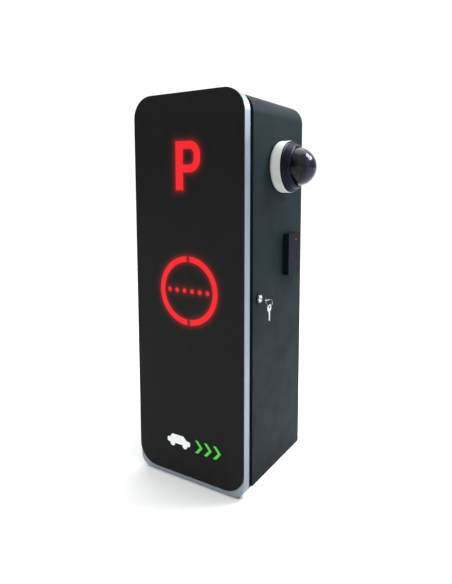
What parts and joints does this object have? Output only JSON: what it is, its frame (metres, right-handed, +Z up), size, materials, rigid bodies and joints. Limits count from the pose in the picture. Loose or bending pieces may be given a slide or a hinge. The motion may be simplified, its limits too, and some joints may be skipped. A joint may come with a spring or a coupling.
{
  "type": "parking pay station",
  "caption": "Free-standing parking control pillar with a lit hinged front door, wall-mounted dome camera, card reader and a keyed cam lock.",
  "frame": {"origin": "centre of the floor anchor pattern, on the underside of the floor plate", "axes": "+Z up; the lit door faces -Y; the camera, reader and lock are on the +X side"},
  "size_m": [0.4145, 0.3569, 1],
  "materials": {
    "cabinet_paint": "semi-gloss powder coat, fine orange peel",
    "door_silver": "satin anodised frame",
    "neck_black": "matt black paint",
    "zinc_plate": "zinc plated sheet",
    "galvanised": "galvanised sheet",
    "bright_steel": "bright zinc fasteners and keys",
    "chrome_plug": "nickel plated, polished",
    "brass": "plain turned brass",
    "seal_rubber": "matt EPDM rubber",
    "panel_black": "glossy black acrylic",
    "red_lens": "lit red acrylic",
    "print_ink": "printed vinyl",
    "camera_white": "off-white moulded plastic",
    "trim_black": "black satin plastic",
    "bubble_smoke": "smoked clear dome",
    "lens_glass": "coated lens glass",
    "black_abs": "fine textured black ABS",
    "grey_pvc": "grey PVC and polyamide",
    "white_abs": "light grey moulded plastic",
    "board_green": "solder-masked circuit board",
    "board_white": "white solder-masked board",
    "chip_black": "moulded electronic parts",
    "led_yellow": "LED phosphor"
  },
  "bodies": {
    "cabinet": {"base_plate": "zinc_plate", "cable_grommet": "seal_rubber", "earth_stud": "brass", "cabinet_shell": "cabinet_paint", "back_panel": "cabinet_paint", "back_panel_screws": "bright_steel", "neck_frame": "neck_black", "door_seal": "seal_rubber", "hinge_cabinet_leaves": "neck_black", "hinge_pins": "bright_steel", "mounting_plate": "galvanised", "plate_standoffs": "bright_steel", "wire_duct": "grey_pvc", "din_rail": "galvanised", "power_supply": "galvanised", "circuit_breaker": "white_abs", "terminal_blocks": "grey_pvc", "control_board": "board_green", "board_parts": "chip_black", "board_standoffs": "brass", "network_switch": "black_abs", "camera_gasket": "seal_rubber", "camera_base": "camera_white", "camera_screws": "bright_steel", "camera_trim": "trim_black", "camera_bubble": "bubble_smoke", "reader_back_plate": "black_abs", "reader_screws": "bright_steel", "reader_board": "board_green", "reader_case": "black_abs", "reader_light": "red_lens", "lock_barrel": "trim_black", "lock_nut": "bright_steel"},
    "front_door": {"door_frame": "door_silver", "face_panel": "panel_black", "letter_lens": "red_lens", "ring_lenses": "red_lens", "dot_lenses": "red_lens", "panel_print": "print_ink", "letter_light_board": "board_white", "ring_light_board": "board_white", "board_leds": "led_yellow", "light_board_standoffs": "brass", "door_back_cover": "galvanised", "door_cover_screws": "bright_steel", "hinge_door_leaves": "neck_black", "lock_strike": "bright_steel"},
    "lock_plug": {"lock_plug": "chrome_plug", "lock_cam": "bright_steel", "cam_screw": "bright_steel", "working_key": "chrome_plug"},
    "key_ring": {"split_ring": "bright_steel"},
    "spare_key": {"spare_key": "chrome_plug"},
    "camera_turntable": {"camera_turntable": "trim_black"},
    "camera_eye": {"camera_eyeball": "trim_black", "camera_lens": "lens_glass"},
    "breaker_toggle": {"breaker_toggle": "black_abs"}
  },
  "joints": [
    {"name": "door_hinge", "type": "hinge", "parent": "cabinet", "child": "front_door", "pos_m": [-0.1595, -0.1795, 0.5], "axis": [0, 0, -1], "range_deg": [0, 110]},
    {"name": "lock_turn", "type": "hinge", "parent": "cabinet", "child": "lock_plug", "pos_m": [0.135, -0.11, 0.49], "axis": [-1, 0, 0], "range_deg": [0, 90]},
    {"name": "ring_swing", "type": "hinge", "parent": "lock_plug", "child": "key_ring", "pos_m": [0.1719, -0.11, 0.49], "axis": [1, 0, 0], "range_deg": [-30, 30]},
    {"name": "spare_key_swing", "type": "hinge", "parent": "key_ring", "child": "spare_key", "pos_m": [0.1784, -0.11, 0.47228], "axis": [1, 0, 0], "range_deg": [-30, 30]},
    {"name": "camera_pan", "type": "hinge", "parent": "cabinet", "child": "camera_turntable", "pos_m": [0.168, 0.003, 0.824], "axis": [1, 0, 0], "range_deg": [-170, 170]},
    {"name": "camera_tilt", "type": "hinge", "parent": "camera_turntable", "child": "camera_eye", "pos_m": [0.195, 0.003, 0.824], "axis": [0, 0, 1], "range_deg": [-23, 52]},
    {"name": "breaker_throw", "type": "hinge", "parent": "cabinet", "child": "breaker_toggle", "pos_m": [-0.054, 0.0585, 0.41], "axis": [1, 0, 0], "range_deg": [0, 70]}
  ]
}
